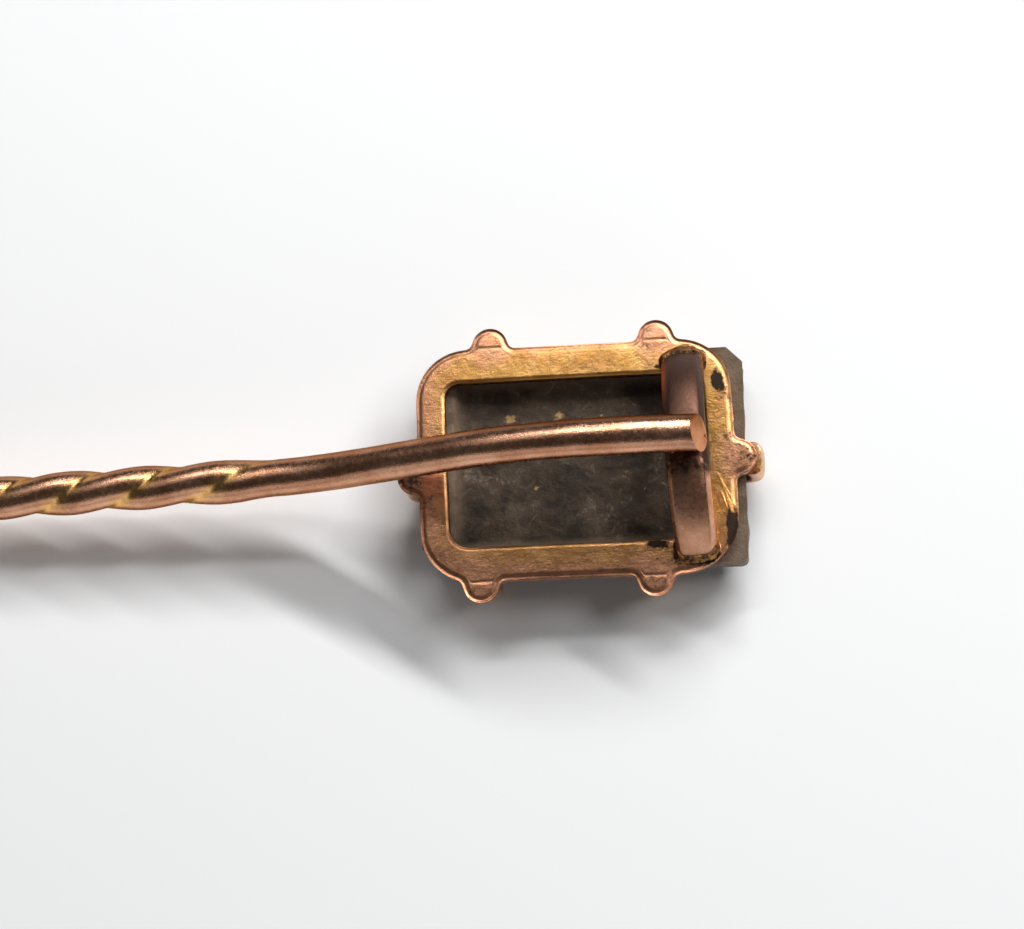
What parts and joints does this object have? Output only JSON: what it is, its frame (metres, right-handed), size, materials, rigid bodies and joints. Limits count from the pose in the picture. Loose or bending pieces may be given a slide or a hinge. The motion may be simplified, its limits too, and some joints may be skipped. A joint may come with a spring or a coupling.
{
  "type": "stick pin",
  "caption": "Cravat stick pin with a claw-set rectangular stone slab on an open back plate, an arched bridge strap and a bent, partly twisted pin wire.",
  "frame": {"origin": "centre of the table, the stone's flat front, on which the head lies", "axes": "+Z from the table towards the open back, +X along the head away from the pin's point, +Y towards the head's upper long edge seen from behind"},
  "size_m": [0.0613, 0.0088, 0.0054],
  "materials": {
    "plate_gold": "worn, ochre patina",
    "claw_gold": "polished, rubbed",
    "stone": "rough back, polished front",
    "strap_gold": "tarnished and rubbed",
    "solder": "flowed solder",
    "wire_gold": "polished, finely scratched"
  },
  "bodies": {
    "root": {"back_plate": "plate_gold", "claw_top_left": "claw_gold", "claw_top_right": "claw_gold", "claw_bottom_left": "claw_gold", "claw_bottom_right": "claw_gold", "claw_left": "claw_gold", "claw_right": "claw_gold", "stone": "stone", "strap": "strap_gold", "strap_solder_top": "solder", "strap_solder_bottom": "solder", "stem_solder": "solder", "pin_stem": "wire_gold"}
  },
  "joints": []
}
